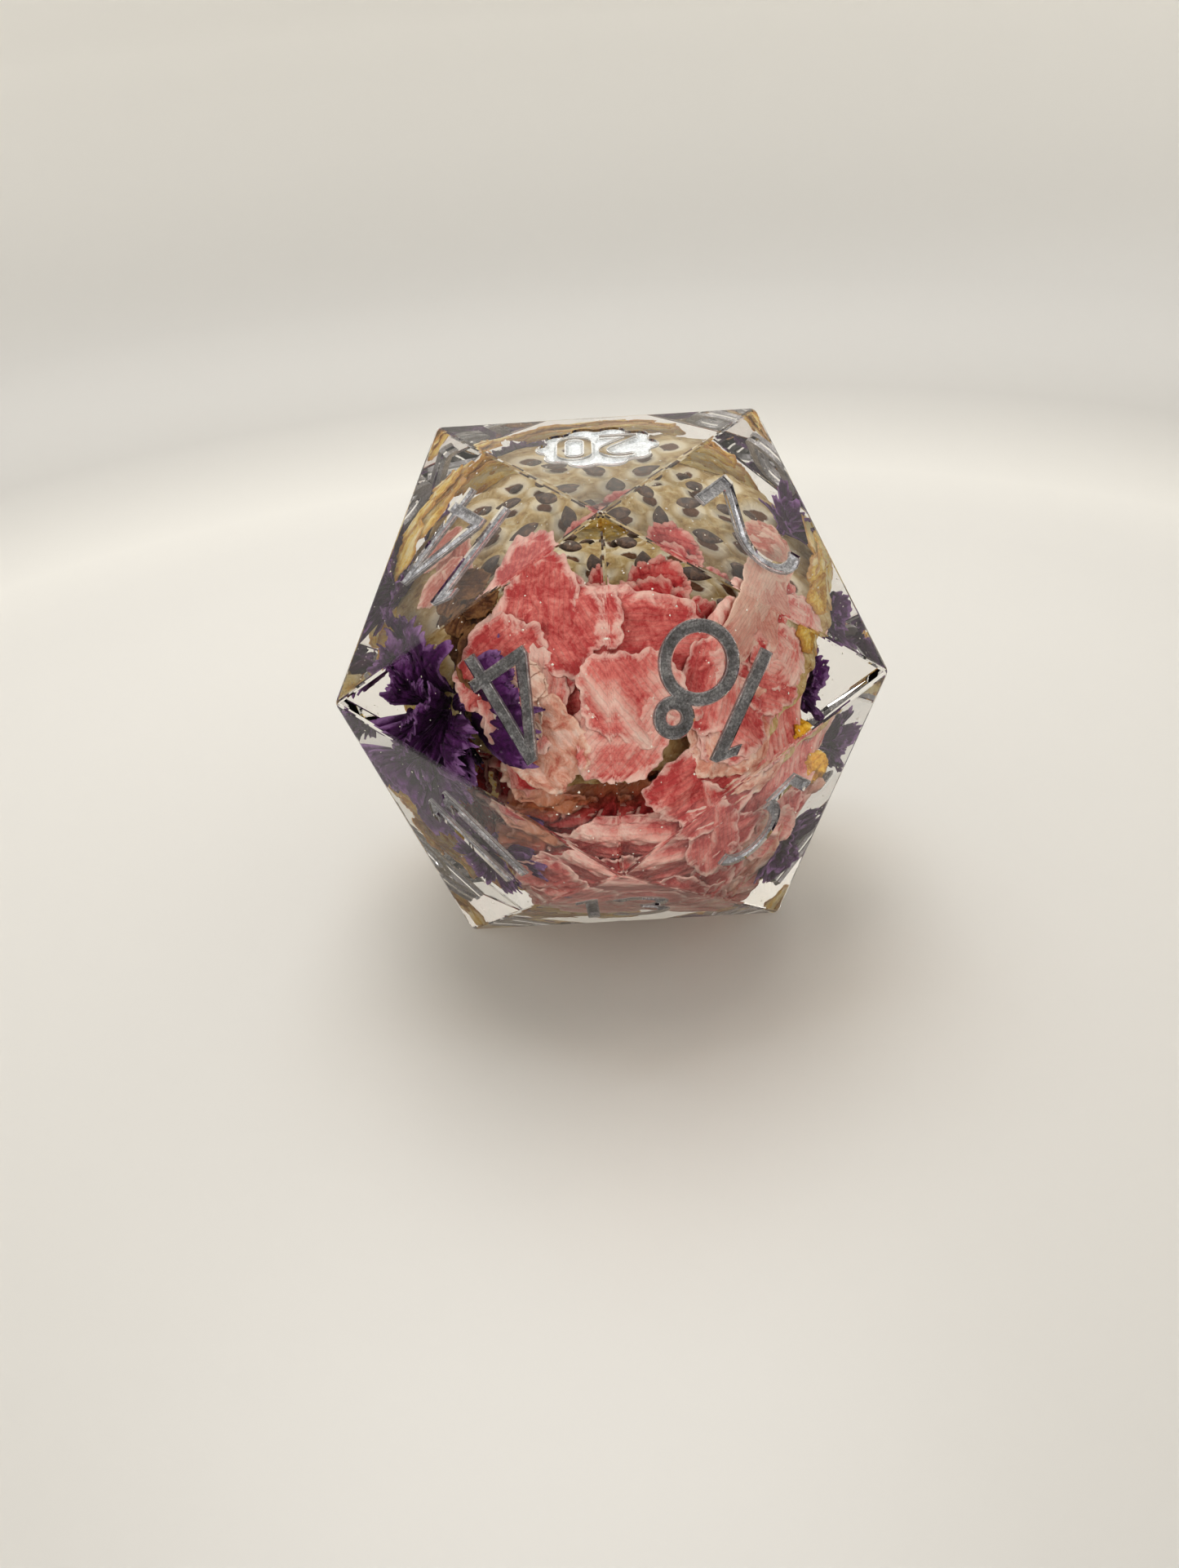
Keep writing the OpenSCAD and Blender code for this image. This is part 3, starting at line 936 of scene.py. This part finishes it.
def seed_places():
    """For each seed: its middle, outward direction, the direction of its point, its length and width."""
    places = []
    for lump in islands("fruit_seeds"):
        middle = lump.mean(axis=0)
        outward = unit(middle - BUNCH)
        flat = (lump - middle) - np.outer((lump - middle) @ outward, outward)
        tip = unit(flat[np.linalg.norm(flat, axis=1).argmax()])
        side = np.cross(outward, tip)
        places.append((middle, outward, tip, np.ptp(flat @ tip), np.ptp(flat @ side), lump @ outward))
    return places


def build_seeds(places):
    """Teardrop seeds, slightly keeled, in one piece."""
    rings, spokes = 20, 28
    points, faces = [], []
    for index, (middle, outward, tip, length, width, heights) in enumerate(places):
        side = np.cross(outward, tip)
        top = middle + outward * (heights.max() - middle @ outward)
        turn = 0.35 * math.sin(5 * index)
        tip, side = tip * math.cos(turn) + side * math.sin(turn), side * math.cos(turn) - tip * math.sin(turn)
        start = len(points)
        for j in range(rings + 1):
            t = j / rings
            profile = math.sin(math.pi * t) ** 0.75 * (1 - 0.42 * t)
            for i in range(spokes):
                a = 2 * math.pi * i / spokes
                keel = 1 + 0.05 * math.cos(6 * a)
                across = math.cos(a) * profile * keel * width * 0.5
                up = math.sin(a) * profile * keel * width * 0.26
                points.append(top + tip * (t - 0.42) * length + side * across + outward * (up - 0.02 * MM))
        faces += grid_faces(spokes, rings + 1, closed=True, start=start)
    return mesh_piece("fruit_seeds_keeled", points, faces, MATERIALS["seed"], ["fruit_seeds"])


def seed_steps(points, seed):
    """How far points lie from a seed's middle, in steps of its own outline."""
    middle, outward, tip, length, width, _ = seed
    offset = points - middle - tip * 0.12 * length
    side = np.cross(outward, tip)
    along = offset @ tip / (0.5 * length)
    across = offset @ side / (0.58 * width)
    return np.hypot(along, across) + abs(offset @ outward) / width


def build_fruit(places):
    """The dried fruit's skin: a crumpled dome, dimpled at each seed and swollen between them."""
    outward, wide, narrow, radius, half_w, _ = sheet_frame("fruit_slice")
    cells = 220
    x, y = disc_grid(cells)
    rho, angle = np.hypot(x, y), np.arctan2(y, x)
    rim = ragged(angle, 71, 0.03)
    tilt = rho * rim * math.asin(min(0.99, half_w / radius)) * 1.12
    turn = np.outer(np.cos(angle), wide) + np.outer(np.sin(angle), narrow)
    ray = np.outer(np.cos(tilt), outward) + turn * np.sin(tilt)[:, None]
    base = BUNCH + ray * radius
    steps = np.array([seed_steps(base, seed) for seed in places])
    steps.sort(axis=0)
    dimple = -0.26 * np.exp(-((steps[0] / 1.35) ** 4))
    border = -0.12 * np.exp(-(((steps[1] - steps[0]) / 0.5) ** 2)) * eased(steps[0], 1.2, 2.0)
    relief = folds(base, 72, 3.2 * MM)
    flare = 2.0 * np.clip(rho - 0.55, 0, 1) / 0.45
    lift = (0.12 + dimple + border + 0.2 * relief + flare) * MM
    points = held_inside(base + ray * lift[:, None], 0.7 * MM)
    halo = np.clip(steps[0] / HALO_REACH, 0, 1)
    piece = mesh_piece(
        "fruit_slice_dimpled",
        points,
        grid_faces(cells + 1, cells + 1),
        MATERIALS["fruit"],
        ["fruit_slice"],
        values={"halo": halo},
        uv=np.stack([x, y], axis=1),
    )
    return thickened(piece, 2 * SHEET_T)


# ---------------------------------------------------------------- small dry bits

# Stem pieces: material, slot, growth, swelling in the middle, ridges round it, height of its wrinkles in mm
STEMS = {
    "amber_bud": ("amber", "dry_stem", 1.6, 0.9, 5, 0.1),
    "gold_stamen": ("gold", "gold_stamen", 2.1, 0.5, 7, 0.3),
    "dry_stem_left": ("stem", "dry_stem", 1.0, 0.1, 6, 0.05),
    "dry_stem_back": ("stem", "dry_stem", 1.0, 0.1, 6, 0.05),
}


def build_stem(node, kind, slot, growth, swell, ridges, wrinkle):
    points_in = vertices_of(node)
    middle = points_in.mean(axis=0)
    axis = np.linalg.eigh((points_in - middle).T @ (points_in - middle))[1][:, 2]
    along = (points_in - middle) @ axis
    across = np.linalg.norm(points_in - middle - np.outer(along, axis), axis=1)
    ends = [across[along < 0].mean(), across[along > 0].mean()]
    side = unit(np.cross(axis, (0.2, 0.9, 0.3)))
    other = np.cross(axis, side)
    spokes, rings = 48, 64
    t = np.repeat(np.linspace(0, 1, rings), spokes)
    a = np.tile(np.arange(spokes) * 2 * math.pi / spokes, rings)
    closing = np.clip(np.sin(math.pi * np.clip(t, 0.004, 0.996)) * 3, 0, 1) ** 0.5
    r = (ends[0] + (ends[1] - ends[0]) * t) * growth * closing
    r = r * (1 + swell * np.sin(math.pi * t) ** 1.5) * (1 + 0.1 * np.cos(ridges * a + 3 * t))
    ray = np.outer(np.cos(a), side) + np.outer(np.sin(a), other)
    centre = middle + np.outer(along.min() + (along.max() - along.min()) * t, axis)
    points = centre + ray * r[:, None]
    points = points + ray * (folds(points, len(node), 0.6 * MM) * wrinkle * MM * closing)[:, None]
    faces = grid_faces(spokes, rings, closed=True)
    return mesh_piece(node + "_wrinkled", points, faces, MATERIALS[kind], [node])


SPECKS = 1200


def build_specks():
    """Tiny flakes of dust and pollen held in the resin, each a small uneven lump."""
    rng = np.random.default_rng(5)
    points, faces = [], []
    lump = np.array([(1, 0, 0), (-1, 0, 0), (0, 1, 0), (0, -1, 0), (0, 0, 1), (0, 0, -1)], float)
    sides = [(0, 2, 4), (2, 1, 4), (1, 3, 4), (3, 0, 4), (2, 0, 5), (1, 2, 5), (3, 1, 5), (0, 3, 5)]
    for _ in range(SPECKS):
        place = CENTRE + unit(rng.normal(size=3)) * APOTHEM * rng.uniform(0.6, 1.15)
        size = rng.uniform(0.02, 0.05) * MM * rng.choice((1.0, 1.0, 1.5))
        start = len(points)
        points += list(place + lump * size * rng.uniform(0.5, 1.4, (6, 3)))
        faces += [tuple(start + i for i in side) for side in sides]
    points = held_inside(np.array(points), 0.4 * MM)
    return mesh_piece("resin_specks", points, faces, MATERIALS["speck"])


# ---------------------------------------------------------------- stage, light and camera

SHADED_PAINT = ("number_04_paint", "number_18_paint")  # the fills leave these numbers dark
FLOOR_R = 50 * MM  # the floor is flat to here
BEND_R = 34 * MM  # and then bends up into the wall
WALL_TOP = 150 * MM
KEY_PLACE = (-0.012, 0.055, 0.12)  # above the die and a little behind it
KEY_SIZE = 0.09
KEY_POWER = 0.109  # watts
FILL_SIZE = 0.11
FILL_POWER = 0.205
AROUND = 0.27  # strength of the even light from all sides
CAMERA_PLACE = Vector((0.26, -72.38, 45.20)) * MM
CAMERA_TURN = 1.26  # degrees to the left of straight back
CAMERA_DOWN = 28.9
CAMERA_ROLL = -3.89
CAMERA_LENS = 39.33


def stage_material():
    """Pale paper with light and shade painted by height: it greys as it bends up into the wall and is pale
    again higher up.
    """
    g = Graph("stage")
    height = g.add("ShaderNodeSeparateXYZ", {0: g.place(0.01)}).outputs["Z"]
    fleck = g.noise(g.place(1.0), 0.4, 3.0, 0.5)
    # Painted light and shade: a little brighter where the floor starts to bend, painted shade in the bend,
    # pale high on the wall
    painted_light_by_height = g.ramp(
        height,
        [
            (0.0, tint(229, 227, 223)),
            (0.012, tint(236, 234, 229)),
            (0.05, tint(203, 201, 197)),
            (0.12, tint(202, 200, 196)),
            (0.32, tint(238, 236, 231)),
        ],
    )
    inputs = {
        "Base Color": painted_light_by_height,
        "Roughness": 0.34,
        "Specular IOR Level": 0.35,
        "Normal": g.bump(fleck, 0.02, 0.2 * MM),
    }
    return g.output(g.add("ShaderNodeBsdfPrincipled", inputs).outputs[0])


def turned(name, profile, material, spokes=96):
    """A surface of revolution round the die's axis."""
    points = []
    for radius, height in profile:
        for i in range(spokes):
            a = 2 * math.pi * i / spokes
            points.append((radius * math.cos(a), radius * math.sin(a), height))
    mesh = bpy.data.meshes.new(name)
    mesh.from_pydata(points, [], grid_faces(spokes, len(profile), closed=True))
    mesh.polygons.foreach_set("use_smooth", [True] * len(mesh.polygons))
    mesh.materials.append(material)
    piece = bpy.data.objects.new(name, mesh)
    bpy.context.scene.collection.objects.link(piece)
    piece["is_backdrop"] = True
    return piece


def build_stage():
    material = stage_material()
    bend = []
    for k in range(1, 13):
        a = math.radians(90 * k / 12)
        bend.append((FLOOR_R + BEND_R * math.sin(a), BEND_R * (1 - math.cos(a))))
    floor = [(r * MM, 0.0) for r in (0.01, 10, 20, 30, 45)] + [(FLOOR_R, 0.0)]
    turned("paper", floor + bend + [(FLOOR_R + BEND_R, WALL_TOP)], material)


def area_light(name, place, size, power, colour, only=None):
    """A round lamp that faces the die. With only, it lights just the objects of that collection."""
    lamp = bpy.data.lights.new(name, "AREA")
    lamp.shape = "DISK"
    lamp.size = size
    lamp.energy = power
    lamp.color = colour
    piece = bpy.data.objects.new(name, lamp)
    piece.location = place
    piece.rotation_euler = (Vector(CENTRE) - Vector(place)).to_track_quat("-Z", "Y").to_euler()
    bpy.context.scene.collection.objects.link(piece)
    piece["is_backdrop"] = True
    if only:
        piece.light_linking.receiver_collection = only
        piece.light_linking.blocker_collection = only


def build_screen():
    """Painted dark reflections: a dark sheet that stands for the dim room in front of the die. It shows in
    reflections only.
    """
    g = Graph("painted_dark_reflection")
    material = g.output(g.add("ShaderNodeBsdfDiffuse", {"Color": tint(70, 66, 62)}).outputs[0])
    spokes, rows, radius = 40, 8, 80 * MM
    points = []
    for j in range(rows):
        for i in range(spokes):
            a = math.radians(-90 + 72 * (2 * i / (spokes - 1) - 1))
            points.append((radius * math.cos(a), radius * math.sin(a), (4 + 86 * j / (rows - 1)) * MM))
    mesh = bpy.data.meshes.new("painted_dark_reflection")
    mesh.from_pydata(points, [], grid_faces(spokes, rows))
    mesh.materials.append(material)
    screen = bpy.data.objects.new("painted_dark_reflection", mesh)
    bpy.context.scene.collection.objects.link(screen)
    screen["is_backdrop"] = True
    for ray in ("camera", "diffuse", "shadow", "transmission", "volume_scatter"):
        setattr(screen, "visible_" + ray, False)


def build_light():
    flowers = bpy.data.collections.new("lit_by_fills")
    for piece in bpy.context.scene.objects:
        if piece.type == "MESH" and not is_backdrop(piece) and piece.name not in SHADED_PAINT:
            flowers.objects.link(piece)
    area_light("key", KEY_PLACE, KEY_SIZE, KEY_POWER, (1.0, 0.988, 0.968))
    for name, x in (("fill_left", -0.12), ("fill_right", 0.1)):
        area_light(name, (x, -0.14, 0.09), FILL_SIZE, FILL_POWER, (1.0, 0.985, 0.965), flowers)
    world = bpy.data.worlds.new("surroundings")
    world.use_nodes = True
    ground = world.node_tree.nodes["Background"]
    ground.inputs["Color"].default_value = tint(250, 249, 246)
    ground.inputs["Strength"].default_value = AROUND
    bpy.context.scene.world = world


def build_camera():
    a, e, roll = (math.radians(v) for v in (CAMERA_TURN, CAMERA_DOWN, CAMERA_ROLL))
    ahead = Vector((-math.sin(a) * math.cos(e), math.cos(a) * math.cos(e), -math.sin(e)))
    level = Vector((math.cos(a), math.sin(a), 0))
    right = level * math.cos(roll) + level.cross(ahead) * math.sin(roll)
    up = right.cross(ahead)
    data = bpy.data.cameras.new("camera")
    data.lens = CAMERA_LENS
    data.sensor_width = 36
    data.clip_start = 0.2 * MM
    camera = bpy.data.objects.new("camera", data)
    camera.matrix_world = Matrix.Translation(CAMERA_PLACE) @ Matrix((right, up, -ahead)).transposed().to_4x4()
    bpy.context.scene.collection.objects.link(camera)
    bpy.context.scene.camera = camera


build_resin_and_numbers()
for petal, facts in PETALS.items():
    build_petal(petal, *facts)
for floret, facts in FLORETS.items():
    build_floret(floret, *facts)
seeds = seed_places()
build_fruit(seeds)
build_seeds(seeds)
for stem, facts in STEMS.items():
    build_stem(stem, *facts)
build_specks()
build_stage()
build_screen()
build_light()
build_camera()
bpy.context.scene.view_settings.view_transform = "Standard"
